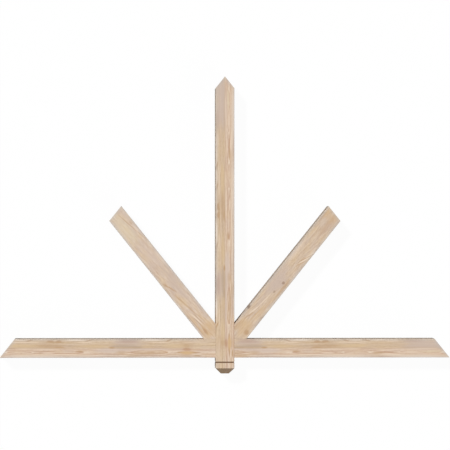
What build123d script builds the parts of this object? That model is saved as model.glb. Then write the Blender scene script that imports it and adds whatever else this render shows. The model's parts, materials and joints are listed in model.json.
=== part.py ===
from build123d import *
from math import hypot
import os

# A gable bracket of five flush timbers, in millimetres. It lies on its back: +X to the right along the
# beam, +Y up towards the gable point, +Z out of the front face. The origin is on the back of the post,
# on its centre line, level with the underside of the beam.

# Roof that the bracket fits under
span = 2133.6  # tip to tip along the underside of the beam
roof_rise = 15.0  # pitch of the rafters: this much up
roof_run = 12.0  # for this much along

# Planed timber
post_width = 88.9
beam_height = 88.9
brace_width = 88.9
timber_depth = 139.7  # front to back, the same for all, so that the faces are flush
arris = 1.0  # long edges eased by this much

# Pendant below the beam, from the top down
neck_length = 19.05  # plain post above the groove
groove_width = 6.35
groove_depth = 1.6
collar_length = 25.4  # plain post below the groove
tip_chamfer = 25.4  # 45 degrees, on all four sides of the end

# Lengths that follow
apex_height = span / 2 * roof_rise / roof_run
rafter_length = hypot(span / 2, apex_height)
pendant_length = neck_length + groove_width + collar_length + tip_chamfer
mid_depth = timber_depth / 2

# Planes that the timbers are cut to, each facing away from the timber it trims
right_rafter = Plane(origin=(span / 2, 0, 0), z_dir=(roof_rise, roof_run, 0))
left_rafter = Plane(origin=(-span / 2, 0, 0), z_dir=(-roof_rise, roof_run, 0))
post_side = Plane(origin=(post_width / 2, 0, 0), z_dir=(-1, 0, 0))
beam_top = Plane(origin=(0, beam_height, 0), z_dir=(0, -1, 0))

# Planes that the timbers start from, centred on their sections and facing along their lengths
post_start = Plane(origin=(0, -pendant_length, mid_depth), x_dir=(1, 0, 0), z_dir=(0, 1, 0))
beam_start = Plane(origin=(post_width / 2, beam_height / 2, mid_depth), x_dir=(0, 1, 0), z_dir=(1, 0, 0))
brace_corner = Plane(
    origin=(post_width / 2, beam_height, mid_depth),
    x_dir=(roof_rise, -roof_run, 0),
    z_dir=(roof_run, roof_rise, 0),
)


# Square-edged section with its four long edges eased
def timber_section(start, width):
    with BuildSketch(start) as section:
        Rectangle(width, timber_depth)
        chamfer(section.vertices(), arris)
    return section.sketch


# One of the four sloping planes of the pendant's end, facing out to the side given by (x, z)
def tip_plane(x, z):
    edge = (x * post_width / 2, tip_chamfer - pendant_length, mid_depth + z * timber_depth / 2)
    return Plane(origin=edge, z_dir=(x, -1, z))


# King post: pointed at the roof pitch, with a groove round the pendant and a chamfered end
with BuildPart() as king_post:
    extrude(timber_section(post_start, post_width), amount=pendant_length + apex_height)
    split(bisect_by=right_rafter, keep=Keep.BOTTOM)
    split(bisect_by=left_rafter, keep=Keep.BOTTOM)
    for x, z in ((1, 0), (-1, 0), (0, 1), (0, -1)):
        split(bisect_by=tip_plane(x, z), keep=Keep.BOTTOM)
    with BuildSketch(post_start.offset(tip_chamfer + collar_length)):
        Rectangle(post_width, timber_depth)
        Rectangle(post_width - 2 * groove_depth, timber_depth - 2 * groove_depth, mode=Mode.SUBTRACT)
    extrude(amount=groove_width, mode=Mode.SUBTRACT)

# Beam: one half each side of the post, its outer end cut to the rafter
with BuildPart() as right_beam:
    extrude(timber_section(beam_start, beam_height), amount=span / 2)
    split(bisect_by=right_rafter, keep=Keep.BOTTOM)

with BuildPart() as left_beam:
    mirror(right_beam.part, about=Plane.YZ)

# Brace: its centre line runs out of the corner of post and beam, parallel to the opposite rafter, so its
# foot is cut twice, to the post and to the beam, and its head is cut to the rafter
with BuildPart() as right_brace:
    extrude(timber_section(brace_corner.offset(-brace_width), brace_width), amount=brace_width + rafter_length)
    split(bisect_by=post_side, keep=Keep.BOTTOM)
    split(bisect_by=beam_top, keep=Keep.BOTTOM)
    split(bisect_by=right_rafter, keep=Keep.BOTTOM)

with BuildPart() as left_brace:
    mirror(right_brace.part, about=Plane.YZ)

# One file for each timber
pieces = {
    "king_post": king_post,
    "left_beam": left_beam,
    "right_beam": right_beam,
    "left_brace": left_brace,
    "right_brace": right_brace,
}
os.makedirs("parts", exist_ok=True)
for name, piece in pieces.items():
    piece.part.label = name
    export_step(piece.part, f"parts/{name}.step")
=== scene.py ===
import bpy
import json
import math
from functools import partial
from mathutils import Matrix, Vector


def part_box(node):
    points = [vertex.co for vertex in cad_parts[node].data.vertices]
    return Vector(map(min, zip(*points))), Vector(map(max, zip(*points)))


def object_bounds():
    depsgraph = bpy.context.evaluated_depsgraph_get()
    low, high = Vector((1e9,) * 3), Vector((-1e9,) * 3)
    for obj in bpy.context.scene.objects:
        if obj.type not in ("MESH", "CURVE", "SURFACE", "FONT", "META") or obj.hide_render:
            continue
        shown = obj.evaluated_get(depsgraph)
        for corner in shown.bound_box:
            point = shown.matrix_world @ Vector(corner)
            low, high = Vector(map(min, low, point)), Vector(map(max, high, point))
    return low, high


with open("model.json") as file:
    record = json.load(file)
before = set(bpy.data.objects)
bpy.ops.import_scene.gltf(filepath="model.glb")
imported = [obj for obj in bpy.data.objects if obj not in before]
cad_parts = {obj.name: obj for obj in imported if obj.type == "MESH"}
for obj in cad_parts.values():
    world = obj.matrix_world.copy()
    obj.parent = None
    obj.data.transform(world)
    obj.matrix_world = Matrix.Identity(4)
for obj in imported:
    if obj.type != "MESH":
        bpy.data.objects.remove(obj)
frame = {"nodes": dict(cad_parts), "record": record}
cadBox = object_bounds()  # the part's own box, before anything is dressed
print("frame loaded:", sorted(frame["nodes"]))

mm = 0.001
scene = bpy.context.scene


def hexColour(code):
    # sRGB hex to linear, channel by channel: c/12.92 up to 0.04045, else ((c + 0.055)/1.055)^2.4
    channels = [int(code[i:i + 2], 16) / 255 for i in (0, 2, 4)]
    return [c / 12.92 if c <= 0.04045 else ((c + 0.055) / 1.055) ** 2.4 for c in channels] + [1.0]


def addNode(tree, kind, inputs=(), out=0, **settings):
    # one node: inputs by name or number take a socket or a plain value; gives back one output, or all of
    # them with out=None
    node = tree.nodes.new("ShaderNode" + kind)
    for name, value in settings.items():
        setattr(node, name, value)
    for key, value in dict(inputs).items():
        if isinstance(value, bpy.types.NodeSocket):
            tree.links.new(value, node.inputs[key])
        else:
            node.inputs[key].default_value = value
    return node.outputs if out is None else node.outputs[out] if node.outputs else node


def newTree(owner):
    owner.use_nodes = True
    owner.node_tree.nodes.clear()
    return owner.node_tree


# Softwood planed on four sides and left bare: cream and brown growth rings that run along each timber in
# long tongues, pinkish and straw zones, soft brown knots, edges greyed by handling, a dull satin skin, sawn
# ends darker as end grain and further with painted shade.
wood = {
    "cream": "E8D3BC", "straw": "D8BD96", "brown": "BC9A76", "greyBrown": "B9A28A",
    "pinkGrey": "BEA391", "mauve": "C8B4A6", "lavender": "D3BFB0", "ivory": "DECFB2",
    "golden": "D2B084", "rust": "B4876A", "knot": "8A684E",
    # the groove colour is painted shade in the post's groove
    # the sawn ends' colour is darker than real end grain, the rest being painted shade
    "glueLine": "A98B6E", "endGrainAndShade": "8E755C", "groove": "6B4E33",
    "roughness": 0.6, "sheen": 0.06,
}

# How each stick was sawn, in mm along it, across it and below its front. A board has its colours (earlywood,
# middle, latewood), where its heart runs across the face, with its drift per mm, how boldly its rings show,
# and the depth of the heart at places along the stick: the rings show as long tongues where it comes near the
# front. Streaks and flecks have a length, a width and a strength; mottle is how far the wood clouds from straw
# to mauve. Marks are soft spots of tint near the front: tint, along, across, half length, half width, lean in
# degrees, strength. A stick keeps to about 65 marks at most, as 75 turn the timber black.
figures = {
    "gluedStock": {  # two boards glued edge to edge; the post and both beam halves show the same figure
        "streaks": (320, 8, 1.0), "flecks": (16, 5, 0.6), "mottle": 0.22,
        "boards": [
            {"colours": ("ECD9C4", "D6BEA5", "B88D70"), "heart": (-18.5, 0.0), "seed": 4.0, "bold": 0.75,
             "depths": [(-120, 12), (-20, 14), (20, 13.2), (69, 12), (115, 13.2), (138, 14.8), (165, 13),
                        (250, 9.5), (345, 13.4), (450, 16), (540, 13.2), (645, 9.5), (755, 11.9),
                        (850, 7.2), (1010, 12.6), (1130, 7.0), (1360, 14)]},
            {"colours": ("E8D4BC", "D4BB9D", "B09272"), "heart": (46, 0.0), "seed": 61.0, "bold": 0.5,
             "depths": [(-120, 19), (125, 19.5), (172, 13.8), (240, 13.8), (320, 17), (505, 19.5),
                        (550, 13.8), (610, 13.8), (690, 19), (792, 19.5), (830, 13.8), (870, 14),
                        (895, 18.5), (928, 13.8), (985, 13.8), (1080, 18), (1360, 19)]}],
        "marks": [
            ("straw", 120, 11, 75, 9, 0, 0.5), ("straw", 510, 10, 85, 10, 0, 0.6),
            ("straw", 850, 12, 95, 9, 0, 0.6), ("cream", 232, 39, 62, 4.5, 0, 1.0),
            ("cream", 598, 39, 55, 4.5, 0, 1.0), ("cream", 862, 39, 36, 4, 0, 0.6),
            ("cream", 962, 39, 40, 4, 0, 0.6), ("cream", 195, 27, 55, 3, 0, 0.5),
            ("cream", 548, 28, 45, 3, 0, 0.6), ("lavender", 255, -5, 140, 6, 0, 0.7),
            ("lavender", 425, -11, 100, 15, 0, 0.8), ("cream", 738, -5, 75, 4, 0, 0.55),
            ("cream", 1125, -5, 95, 4, 0, 0.6), ("cream", 1010, -9, 55, 3.5, 0, 0.6),
            ("cream", 1020, -29, 75, 4, 0, 0.9), ("cream", 655, -30, 70, 4, 0, 0.6),
            ("cream", 20, -29, 30, 3, 0, 0.6), ("cream", 135, -14, 45, 3, 0, 0.6),
            ("pinkGrey", 425, -29, 55, 4, 0, 0.5), ("brown", 20, -35, 22, 4.5, 0, 0.9),
            ("brown", 69, 22, 45, 26, 0, 0.3), ("brown", 69, -21, 56, 6, 0, 0.8),
            ("golden", 69, -22, 34, 10, 0, 0.8), ("rust", 69, -5, 24, 8, 0, 0.6),
            ("brown", 69, 8, 15, 18, 0, 0.35), ("brown", 255, -22, 88, 10, 0, 0.6),
            ("brown", 155, 37, 18, 4, -22, 1.0), ("mauve", 355, 22, 85, 28, 0, 0.8),
            ("pinkGrey", 348, 33, 62, 11, 0, 0.85), ("greyBrown", 365, 8, 75, 12, 0, 0.8),
            ("greyBrown", 305, 4, 35, 6, 0, 0.8), ("brown", 425, 3, 20, 5, 0, 1.0),
            ("brown", 574, -13, 30, 4.5, 0, 0.85), ("brown", 537, 36, 18, 3, -18, 0.7),
            ("brown", 712, 11, 75, 14, 0, 0.42), ("brown", 672, 4, 28, 5, 0, 0.7),
            ("brown", 676, 32, 16, 7, 0, 1.0), ("brown", 715, 33, 20, 5, 0, 1.0),
            ("brown", 815, 35, 16, 4, -10, 0.7), ("brown", 915, 37, 16, 4, -15, 0.7),
            ("brown", 966, -22, 34, 7, 0, 0.6), ("mauve", 1170, 16, 110, 27, 0, 0.85),
            ("pinkGrey", 1130, 35, 45, 8, 0, 0.5), ("mauve", 1275, 18, 60, 26, 0, 0.8),
            ("brown", 1120, -28, 60, 3, 0, 0.3), ("cream", 540, -34, 110, 7, 0, 0.4),
            ("cream", 800, -36, 140, 9, 0, 0.6), ("cream", 1150, -36, 150, 9, 0, 0.55),
            ("brown", 375, -20, 36, 9, 0, 0.5), ("brown", 318, -36, 45, 7, 0, 0.45),
            ("brown", 72, -35, 36, 7, 0, 0.4), ("brown", 620, 4, 700, 4, 0, 0.33),
            ("ivory", 1225, -15, 60, 6, 0, 0.5), ("cream", 1030, 36, 34, 6, 0, 0.45),
            ("cream", 840, -2, 45, 4, 0, 0.6), ("cream", 1190, -2, 70, 4, 0, 0.5),
            ("cream", 30, 28, 70, 3.5, 0, 0.5), ("cream", 840, 28, 90, 3.5, 0, 0.6),
            ("brown", 470, 18, 190, 6, 0, 0.3), ("brown", 1000, 19, 190, 6, 0, 0.3),
            ("cream", 725, -21, 36, 4, 0, 0.7), ("cream", 1120, -20, 60, 4, 0, 0.6)]},
    "leftBraceStick": {
        "streaks": (80, 9, 0.8), "flecks": (24, 6, 0.9), "mottle": 0.5,
        "boards": [
            {"colours": ("ECD9C6", "D4BEA9", "B8977A"), "heart": (-62, 0.16), "seed": 18.0, "bold": 0.25,
             "depths": [(-120, 20), (60, 12), (330, 18), (520, 26), (700, 16), (1360, 20)]}],
        "marks": [
            ("golden", 62, -2, 48, 42, 0, 0.55), ("golden", 130, 31, 80, 8, 4, 0.5),
            ("brown", 60, 16, 22, 10, 0, 0.8), ("rust", 60, 16, 12, 6, 0, 0.3),
            ("golden", 64, -12, 22, 8, 0, 0.4), ("cream", 52, 0, 26, 3, 6, 0.6),
            ("cream", 128, 11, 48, 3.2, 8, 1.0), ("brown", 128, 18, 50, 3, 8, 0.6),
            ("brown", 125, 4, 50, 2.6, 8, 0.7), ("cream", 150, -2, 34, 3, 7, 0.6),
            ("brown", 140, -4, 50, 3, 11, 0.6), ("brown", 215, 10, 60, 5, 10, 0.5),
            ("brown", 262, 20, 30, 4, 12, 0.4), ("brown", 130, 35, 90, 3, 2, 0.5),
            ("brown", 150, 25, 70, 3, 4, 0.35), ("brown", 322, 18, 36, 4, 20, 0.8),
            ("brown", 346, 29, 18, 6, 10, 0.75), ("mauve", 340, -14, 110, 24, 0, 0.6),
            ("pinkGrey", 430, 38, 70, 4, 5, 0.4), ("lavender", 500, -6, 70, 42, 0, 0.45),
            ("ivory", 680, 12, 110, 40, 0, 0.45), ("lavender", 640, -34, 50, 9, 6, 0.6),
            ("brown", 678, -19, 92, 3.2, 10.5, 0.6), ("lavender", 728, -30, 50, 9, 6, 0.6),
            ("brown", 680, -29, 11, 5, 0, 0.4), ("brown", 352, 22, 20, 6, 0, 0.4),
            ("brown", 318, 37, 18, 5, 0, 0.4), ("brown", 45, 0, 24, 6, 0, 0.35),
            ("cream", 160, 21, 22, 4, 6, 0.5), ("cream", 642, -31, 24, 7, 0, 0.5),
            ("cream", 465, -36, 45, 6, 0, 0.45)]},
    "rightBraceStick": {
        "streaks": (80, 9, 0.8), "flecks": (24, 6, 0.9), "mottle": 0.4,
        "boards": [
            {"colours": ("E8D4BC", "D2BBA3", "B29274"), "heart": (34, -0.12), "seed": 33.0, "bold": 0.25,
             "depths": [(-120, 20), (60, 13), (200, 16), (380, 24), (520, 14), (640, 20), (1360, 22)]}],
        "marks": [
            ("golden", 72, -4, 52, 40, 0, 0.5), ("brown", 60, -27, 16, 14, 0, 0.9),
            ("brown", 134, 14, 31, 3.6, -18, 0.7), ("cream", 165, 13, 44, 3.4, -14, 0.8),
            ("cream", 232, 3, 50, 3.4, -6, 0.85), ("golden", 185, -11, 80, 4, -5, 0.6),
            ("golden", 190, -21, 75, 4, -4, 0.5), ("mauve", 340, 8, 90, 40, 0, 0.8),
            ("brown", 325, -31, 80, 7, 0, 0.6), ("brown", 50, 30, 40, 10, 0, 0.4),
            ("knot", 161, 41, 11, 7, 0, 0.8), ("knot", 293, -9, 8, 6, 0, 0.45),
            ("knot", 352, -17, 9, 8, 0, 0.6), ("cream", 510, 30, 80, 11, 0, 0.5),
            ("pinkGrey", 700, -11, 100, 17, 0, 0.45), ("brown", 690, -8, 80, 14, 0, 0.25),
            ("brown", 478, -24, 30, 3, -22, 0.7), ("brown", 513, -26, 36, 3, -22, 0.9),
            ("cream", 496, -26, 38, 3.2, -22, 0.9), ("cream", 528, -30, 30, 3, -20, 0.7),
            ("brown", 715, 35, 60, 5, 0, 0.5), ("golden", 738, 28, 34, 8, 0, 0.4),
            ("golden", 750, -4, 48, 46, 0, 0.3), ("brown", 360, -34, 36, 8, 0, 0.3),
            ("cream", 560, -32, 24, 7, 0, 0.45), ("brown", 640, -32, 22, 8, 0, 0.3)]},
}

# Where each stick's own frame lies: the point on the timber's centre line that its lengths are counted from,
# the turn of its length from +X, -1 where it is read from the other end, and the two edges of the post's
# groove in mm along it.
slopeAxis = next(m["axis"] for m in frame["record"]["mounts"] if m["name"] == "right_beam_end")
braceTurn = math.atan2(slopeAxis[0], slopeAxis[1])  # each brace runs square to the opposite slope
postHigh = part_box("king_post")[1]
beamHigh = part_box("right_beam")[1]
halfFace = postHigh.x
halfDepth = postHigh.z / 2
beamMiddle = beamHigh.y / 2
braceFoot = (postHigh.x, beamHigh.y)  # inner corner of post and beam

timbers = {
    "king_post": {"figure": "gluedStock", "at": (0, 0), "turn": math.pi / 2, "groove": (-25.4, -19.05)},
    "left_beam": {"figure": "gluedStock", "at": (-111.8 * mm, beamMiddle), "turn": 0, "reading": -1},
    "right_beam": {"figure": "gluedStock", "at": (-238.4 * mm, beamMiddle), "turn": 0},
    "left_brace": {"figure": "leftBraceStick", "at": (-braceFoot[0], braceFoot[1]),
                   "turn": math.pi - braceTurn},
    "right_brace": {"figure": "rightBraceStick", "at": braceFoot, "turn": braceTurn},
}
stickEnds = (-120, 1360)  # mm, the range of the heart's depth curves
deepest = 40.0  # mm, top of those curves
markDepth = 1.5  # half widths that a mark reaches in from the front
ringScale, ringGrowth = 4.4, 1.46  # mm from the heart to the first ring, and how each outgrows the one before
endRing = 3.4  # mm between the even fine rings that sawn ends show

# Worn edges: mm of edge, share of colour and of light lost, mm round the joint left bare, mm from there to full
worn = {"width": 15.5, "grey": 0.34, "dim": 0.08, "joint": 100.0, "fade": 60.0}

# Sides and back: mm between even rings, drawn coarser than real ones so that they show, their strength, the
# heights in mm between which they take over from the front's figure, and the share of flecks lost there
sides = {"ring": 8.5, "strength": 0.55, "from": -2.0, "to": -22.0, "fleckLoss": 0.75}

# Other sizes in mm, along and across: bends of the rings, clouds, and fibres drawn coarser than real ones
bendSize, cloudSize, fibreSize = (160, 26), (70, 24), (60, 1.5)
ringBend = 5.0  # mm, how far those bends move a ring


def timberWood(name, figure, at, turn, reading=1, groove=None):
    material = bpy.data.materials.new("planedSoftwood_" + name)
    tree = newTree(material)
    add = partial(addNode, tree)
    boards = figures[figure]["boards"]
    streakLength, streakWidth, streakStrength = figures[figure]["streaks"]
    fleckLength, fleckWidth, fleckStrength = figures[figure]["flecks"]
    cloud = figures[figure]["mottle"]

    # the stick's frame in mm: x along it, y across its face, z out from its front
    place = add("TexCoord", out="Object")
    stick = add("Mapping", {"Vector": place, "Location": (*at, 2 * halfDepth),
                            "Rotation": (0, 0, turn), "Scale": (reading * mm, mm, mm)}, vector_type="TEXTURE")
    along, across, outward = add("SeparateXYZ", {0: stick}, out=None)
    board = add("Math", {0: across, 1: 0.0 if len(boards) > 1 else 1e6}, operation="GREATER_THAN")

    # glued boards come from different trees: the noise of the second is read 5 m further on
    growth = add("VectorMath", {0: board, 1: (5000, 0, 0), 2: stick}, operation="MULTIPLY_ADD")
    growth = add("VectorMath", {0: growth, 1: (boards[0]["seed"] * 1000, 0, 0)}, operation="ADD")

    # the heart: its place across the face and its depth, from a smooth curve along the stick
    share = add("MapRange", {0: along, 1: stickEnds[0], 2: stickEnds[1]})
    sideways = None
    below = None
    for settings in boards:
        curve = add("FloatCurve", {1: share})
        points = curve.node.mapping.curves[0].points
        spots = [((t - stickEnds[0]) / (stickEnds[1] - stickEnds[0]), depth / deepest)
                 for t, depth in settings["depths"]]
        points[0].location = (0, spots[0][1])
        points[1].location = (1, spots[-1][1])
        for spot in spots[1:-1]:
            points.new(*spot)
        curve.node.mapping.update()
        ownBelow = add("Math", {0: curve, 1: deepest}, operation="MULTIPLY")
        ownSideways = add("Math", {0: along, 1: settings["heart"][1], 2: settings["heart"][0]},
                          operation="MULTIPLY_ADD")
        below = ownBelow if below is None else add("Mix", {0: board, 2: below, 3: ownBelow})
        sideways = ownSideways if sideways is None else add("Mix", {0: board, 2: sideways, 3: ownSideways})

    # growth rings: distance from the heart, bent a little by noise
    bend = add("VectorMath", {0: growth, 1: (1 / bendSize[0], 1 / bendSize[1], 1 / bendSize[1])},
               operation="MULTIPLY")
    bend = add("TexNoise", {"Vector": bend, "Scale": 1.0, "Detail": 2.0}, out=1)
    bend = add("VectorMath", {0: bend, 1: (0, ringBend, ringBend), 2: (0, -ringBend / 2, -ringBend / 2)},
               operation="MULTIPLY_ADD")
    heart = add("CombineXYZ", {1: sideways, 2: add("Math", {0: below, 1: -1.0}, operation="MULTIPLY")})
    ringPoint = add("VectorMath", {0: stick, 1: heart}, operation="SUBTRACT")
    ringPoint = add("VectorMath", {0: ringPoint, 1: bend}, operation="ADD")
    ringPoint = add("VectorMath", {0: ringPoint, 1: (0, 1 / ringScale, 1 / ringScale)}, operation="MULTIPLY")
    radius = add("VectorMath", {0: ringPoint}, out="Value", operation="LENGTH")
    count = add("Math", {0: radius, 1: ringGrowth}, operation="LOGARITHM")
    phase = add("Math", {0: count}, operation="FRACT")
    ringNumber = add("Math", {0: count}, operation="FLOOR")
    ringNumber = add("Math", {0: board, 1: boards[-1]["seed"], 2: ringNumber}, operation="MULTIPLY_ADD")
    ringNumber = add("Math", {0: ringNumber, 1: boards[0]["seed"]}, operation="ADD")
    vigour = add("TexWhiteNoise", {"W": ringNumber}, noise_dimensions="1D")
    vigour = add("MapRange", {0: vigour, 3: 0.45, 4: 1.0})
    bold = add("Mix", {0: board, 2: boards[0]["bold"], 3: boards[-1]["bold"]})
    vigour = add("Math", {0: vigour, 1: bold}, operation="MULTIPLY")

    # each ring starts cream, darkens slowly to its latewood line and ends sharply
    early = add("MapRange", {0: phase, 2: 0.42, 3: 0.75, 4: 0.0}, interpolation_type="SMOOTHSTEP")
    early = add("Math", {0: early, 1: vigour}, operation="MULTIPLY")
    rise = add("MapRange", {0: phase, 1: 0.4, 2: 0.88, 4: 0.85}, interpolation_type="SMOOTHSTEP")
    fall = add("MapRange", {0: phase, 1: 0.9, 2: 1.0, 3: 1.0, 4: 0.0}, interpolation_type="SMOOTHSTEP")
    late = add("Math", {0: rise, 1: fall}, operation="MULTIPLY")
    late = add("Math", {0: late, 1: vigour}, operation="MULTIPLY")

    # below the front the rings turn even and finer, and the flecks fade
    inside = add("MapRange", {0: outward, 1: sides["from"], 2: sides["to"]})
    sideRings = add("Math", {0: radius, 1: 2 * math.pi * ringScale / sides["ring"]}, operation="MULTIPLY")
    sideRings = add("Math", {0: sideRings}, operation="SINE")
    sideRings = add("MapRange", {0: sideRings, 1: -0.1, 4: sides["strength"]}, interpolation_type="SMOOTHSTEP")
    sideRings = add("Math", {0: sideRings, 1: inside}, operation="MULTIPLY")
    late = add("Math", {0: late, 1: sideRings}, operation="MAXIMUM")

    # long soft streaks, fine fibres and short flecks, the last ones larger than real so that they show
    streak = add("VectorMath", {0: growth, 1: (1 / streakLength, 1 / streakWidth, 1 / streakWidth)},
                 operation="MULTIPLY")
    streak = add("TexNoise", {"Vector": streak, "Scale": 1.0, "Detail": 2.0, "Roughness": 0.5})
    fibre = add("VectorMath", {0: growth, 1: (1 / fibreSize[0], 1 / fibreSize[1], 1 / fibreSize[1])},
                operation="MULTIPLY")
    fibre = add("TexNoise", {"Vector": fibre, "Scale": 1.0, "Detail": 2.0})
    fleck = add("VectorMath", {0: growth, 1: (1 / fleckLength, 1 / fleckWidth, 1 / fleckWidth)},
                operation="MULTIPLY")
    fleck = add("TexNoise", {"Vector": fleck, "Scale": 1.0, "Detail": 1.0})
    faded = add("Math", {0: inside, 1: sides["fleckLoss"]}, operation="MULTIPLY")
    fleck = add("Mix", {0: faded, 2: fleck, 3: 0.5})
    pale, middle, dark = [
        add("Mix", {0: board, 6: hexColour(first), 7: hexColour(second)}, out=2, data_type="RGBA")
        for first, second in zip(boards[0]["colours"], boards[-1]["colours"])]
    light = add("MapRange", {0: streak, 1: 0.52, 2: 0.28, 4: 0.4 * streakStrength})
    light = add("Math", {0: light, 1: early}, operation="ADD")
    paleFleck = add("MapRange", {0: fleck, 1: 0.5, 2: 0.25, 4: 0.35 * fleckStrength})
    light = add("Math", {0: light, 1: paleFleck}, operation="ADD")
    colour = add("Mix", {0: light, 6: middle, 7: pale}, out=2, data_type="RGBA")
    shade = add("MapRange", {0: streak, 1: 0.5, 2: 0.75, 4: 0.45 * streakStrength})
    shade = add("Math", {0: shade, 1: late}, operation="ADD")
    darkFleck = add("MapRange", {0: fleck, 1: 0.5, 2: 0.75, 4: 0.4 * fleckStrength})
    shade = add("Math", {0: shade, 1: darkFleck}, operation="ADD")
    shade = add("Math", {0: fibre, 1: 0.1, 2: shade}, operation="MULTIPLY_ADD")
    colour = add("Mix", {0: shade, 6: colour, 7: dark}, out=2, data_type="RGBA")

    # clouds of straw and mauve
    mottle = add("VectorMath", {0: growth, 1: (1 / cloudSize[0], 1 / cloudSize[1], 1 / cloudSize[1])},
                 operation="MULTIPLY")
    mottle = add("TexNoise", {"Vector": mottle, "Scale": 1.0, "Detail": 1.0})
    warm = add("MapRange", {0: mottle, 1: 0.5, 2: 0.7, 4: cloud})
    colour = add("Mix", {0: warm, 6: colour, 7: hexColour(wood["straw"])}, out=2, data_type="RGBA")
    cool = add("MapRange", {0: mottle, 1: 0.5, 2: 0.3, 4: cloud})
    colour = add("Mix", {0: cool, 6: colour, 7: hexColour(wood["mauve"])}, out=2, data_type="RGBA")

    # marks: distance in their own half sizes, frayed along the streaks
    fray = add("MapRange", {0: streak, 1: 0.25, 2: 0.75, 3: 0.3, 4: -0.3})
    for tint, markAlong, markAcross, halfLength, halfWidth, lean, strength in figures[figure]["marks"]:
        reach = add("Mapping", {"Vector": stick, "Location": (markAlong, markAcross, 0),
                                "Rotation": (0, 0, math.radians(lean)),
                                "Scale": (halfLength, halfWidth, markDepth * halfWidth)}, vector_type="TEXTURE")
        reach = add("VectorMath", {0: reach}, out="Value", operation="LENGTH")
        reach = add("Math", {0: reach, 1: fray}, operation="ADD")
        mask = add("MapRange", {0: reach, 1: 0.4, 2: 1.2, 3: strength, 4: 0.0},
                   interpolation_type="SMOOTHSTEP")
        colour = add("Mix", {0: mask, 6: colour, 7: hexColour(wood[tint])}, out=2, data_type="RGBA")

    # glue line between two boards, drawn 2 mm wide so that it shows
    if len(boards) > 1:
        apart = add("Math", {0: across}, operation="ABSOLUTE")
        seam = add("MapRange", {0: apart, 1: 0.5, 2: 2.0, 3: 0.3, 4: 0.0})
        colour = add("Mix", {0: seam, 6: colour, 7: hexColour(wood["glueLine"])}, out=2, data_type="RGBA")

    # eased edges, greyed by handling: mm to the nearest long edge or roof cut, none where the timbers meet
    fromSide = add("Math", {0: across}, operation="ABSOLUTE")
    fromSide = add("Math", {0: halfFace / mm, 1: fromSide}, operation="SUBTRACT")
    fromFront = add("Math", {0: outward, 1: halfDepth / mm}, operation="ADD")
    fromFront = add("Math", {0: fromFront}, operation="ABSOLUTE")
    fromFront = add("Math", {0: halfDepth / mm, 1: fromFront}, operation="SUBTRACT")
    fromEdge = add("Math", {0: fromSide, 1: fromFront}, operation="MAXIMUM")
    fromCut = add("VectorMath", {0: place}, operation="ABSOLUTE")
    fromCut = add("VectorMath", {0: fromCut, 1: slopeAxis}, out="Value", operation="DOT_PRODUCT")
    fromCut = add("Math", {0: fromCut, 1: -1 / mm, 2: postHigh.y * slopeAxis[1] / mm},
                  operation="MULTIPLY_ADD")
    fromEdge = add("Math", {0: fromEdge, 1: fromCut}, operation="MINIMUM")
    fromJoint = add("VectorMath", {0: place, 1: (1 / mm, 1 / mm, 0)}, operation="MULTIPLY")
    fromJoint = add("VectorMath", {0: fromJoint, 1: (0, beamHigh.y / mm, 0)}, out="Value",
                    operation="DISTANCE")
    bare = add("MapRange", {0: fromJoint, 1: worn["joint"], 2: worn["joint"] + worn["fade"]})
    wear = add("MapRange", {0: fromEdge, 2: worn["width"], 3: bare, 4: 0.0})
    greyed = add("MapRange", {0: wear, 3: 1.0, 4: 1 - worn["grey"]})
    dimmed = add("MapRange", {0: wear, 3: 1.0, 4: 1 - worn["dim"]})
    colour = add("HueSaturation", {"Color": colour, "Saturation": greyed, "Value": dimmed})

    # sawn ends, darker as real end grain and further as painted shade: how far the surface faces along the
    # grain
    lengthways = (math.cos(turn), math.sin(turn), 0)
    facing = add("VectorMath", {0: add("NewGeometry", out="True Normal"), 1: lengthways}, out="Value",
                 operation="DOT_PRODUCT")
    facing = add("Math", {0: facing}, operation="ABSOLUTE")
    endRings = add("Math", {0: radius, 1: ringScale / endRing}, operation="MULTIPLY")
    endRings = add("Math", {0: endRings}, operation="FRACT")
    endRings = add("MapRange", {0: endRings, 1: 0.3, 3: 0.66, 4: 0.96}, interpolation_type="SMOOTHSTEP")
    sawnEndAndShade = add("MapRange", {0: facing, 1: 0.3, 2: 0.6, 3: 0.0, 4: endRings})
    colour = add("Mix", {0: sawnEndAndShade, 6: colour, 7: hexColour(wood["endGrainAndShade"])}, out=2, data_type="RGBA")

    # the groove is painted dark: painted shade in its recess
    if groove:
        low = add("Math", {0: along, 1: groove[0] - 0.05}, operation="GREATER_THAN")
        high = add("Math", {0: along, 1: groove[1] + 0.05}, operation="LESS_THAN")
        grooveShade = add("Math", {0: low, 1: high}, operation="MULTIPLY")
        colour = add("Mix", {0: grooveShade, 6: colour, 7: hexColour(wood["groove"])}, out=2, data_type="RGBA")

    height = add("Math", {0: fibre, 1: 0.5, 2: late}, operation="MULTIPLY_ADD")
    bump = add("Bump", {"Height": height, "Strength": 0.2, "Distance": 0.3 * mm})
    sheen = add("MapRange", {0: streak, 1: 0.3, 2: 0.7, 3: wood["roughness"] + wood["sheen"],
                             4: wood["roughness"] - wood["sheen"]})
    surface = add("BsdfPrincipled", {"Base Color": colour, "Roughness": sheen, "Specular IOR Level": 0.3,
                                     "Normal": bump})
    add("OutputMaterial", {"Surface": surface})
    return material


for name, settings in timbers.items():
    node = frame["nodes"][name]
    node.data.materials.clear()
    node.data.materials.append(timberWood(name, **settings))
print("timbers dressed:", len(timbers))


def seenRay(tree):
    # 1 where the camera, a reflection or a see-through ray meets the stage, 0 for light that goes to the part
    ray = addNode(tree, "LightPath", out=None)
    seen = addNode(tree, "Math", {0: ray["Is Camera Ray"], 1: ray["Is Glossy Ray"]}, operation="MAXIMUM")
    return addNode(tree, "Math", {0: seen, 1: ray["Is Transmission Ray"]}, operation="MAXIMUM")


# White paper floor: seen nearly white with a faint shadow, and dull to the timbers, so corners stay dark
floorSet = {"size": 60.0, "drop": 0.5 * mm, "shown": "FFFFFF", "glow": 0.95, "dull": "303030"}


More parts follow.
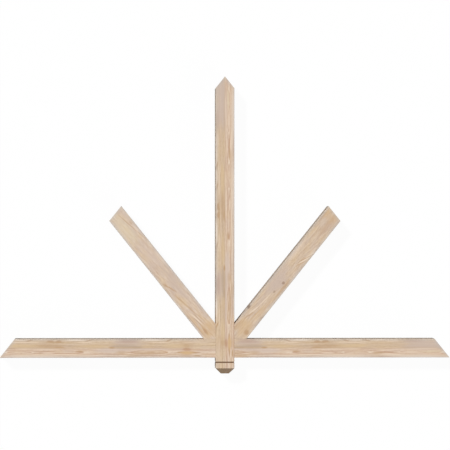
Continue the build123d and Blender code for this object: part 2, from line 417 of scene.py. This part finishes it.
def paperFloor():
    reach = floorSet["size"] / 2
    mesh = bpy.data.meshes.new("paperFloor")
    corners = [(-reach, -reach), (reach, -reach), (reach, reach), (-reach, reach)]
    mesh.from_pydata([(x, y, -floorSet["drop"]) for x, y in corners], [], [(0, 1, 2, 3)])
    floor = bpy.data.objects.new("paperFloor", mesh)
    scene.collection.objects.link(floor)
    material = bpy.data.materials.new("whitePaperFloor")
    tree = newTree(material)
    paper = addNode(tree, "BsdfDiffuse", {"Color": hexColour(floorSet["shown"])})
    glow = addNode(tree, "Emission", {"Color": hexColour(floorSet["shown"]), "Strength": 1.0})
    white = addNode(tree, "MixShader", {0: floorSet["glow"], 1: paper, 2: glow})
    dull = addNode(tree, "BsdfDiffuse", {"Color": hexColour(floorSet["dull"])})
    shown = addNode(tree, "MixShader", {0: seenRay(tree), 1: dull, 2: white})
    addNode(tree, "OutputMaterial", {"Surface": shown})
    mesh.materials.append(material)


paperFloor()

# A key lamp from the upper left, a weaker one from straight ahead, a wide fill from the lower right for the
# far sides, a weak one from the right for the ends that the others miss, and a low even sky
lamps = {
    "keyLamp": {"towards": (-0.45, 0.45, 1.0), "strength": 2.0, "spread": 6.0},
    "frontLamp": {"towards": (0.0, 0.0, 1.0), "strength": 0.835, "spread": 20.0},
    "fillLamp": {"towards": (0.55, -0.6, 0.58), "strength": 0.7, "spread": 40.0},
    "sideLamp": {"towards": (1.0, 0.0, 0.0), "strength": 0.5, "spread": 20.0},
}
sky = {"colour": "FFFFFF", "strength": 0.04}


def studioLight():
    for name, settings in lamps.items():
        lamp = bpy.data.lights.new(name, "SUN")
        lamp.energy = settings["strength"]
        lamp.angle = math.radians(settings["spread"])
        lampObject = bpy.data.objects.new(name, lamp)
        lampObject.rotation_euler = Vector(settings["towards"]).to_track_quat("Z", "Y").to_euler()
        scene.collection.objects.link(lampObject)
    scene.world = bpy.data.worlds.new("studioSky")
    tree = newTree(scene.world)
    level = addNode(tree, "MapRange", {0: seenRay(tree), 3: sky["strength"], 4: 1.0})
    glow = addNode(tree, "Background", {"Color": hexColour(sky["colour"]), "Strength": level})
    addNode(tree, "OutputWorld", {"Surface": glow})


studioLight()
scene.view_settings.view_transform = "Standard"

# Long lens, nearly square on: a little from the left and from above the beam, so that the left side of the
# post, the top of the beam and the inner side of the right brace just show
camera = {"aside": -0.475, "above": 0.585, "distance": 16.0, "lens": 270.1}


def photoCamera():
    low, high = cadBox
    aim = Vector(((low.x + high.x) / 2, (low.y + high.y) / 2, high.z))
    spot = Vector((camera["aside"], camera["above"], high.z + camera["distance"]))
    back = (spot - aim).normalized()
    right = Vector((0, 1, 0)).cross(back).normalized()
    up = back.cross(right)
    lens = bpy.data.cameras.new("photoCamera")
    lens.lens = camera["lens"]
    lens.sensor_width = 36.0
    lens.clip_end = 200.0
    eye = bpy.data.objects.new("photoCamera", lens)
    eye.matrix_world = Matrix.Translation(spot) @ Matrix((right, up, back)).transposed().to_4x4()
    scene.collection.objects.link(eye)
    scene.camera = eye


photoCamera()
print("stage, light and camera set")
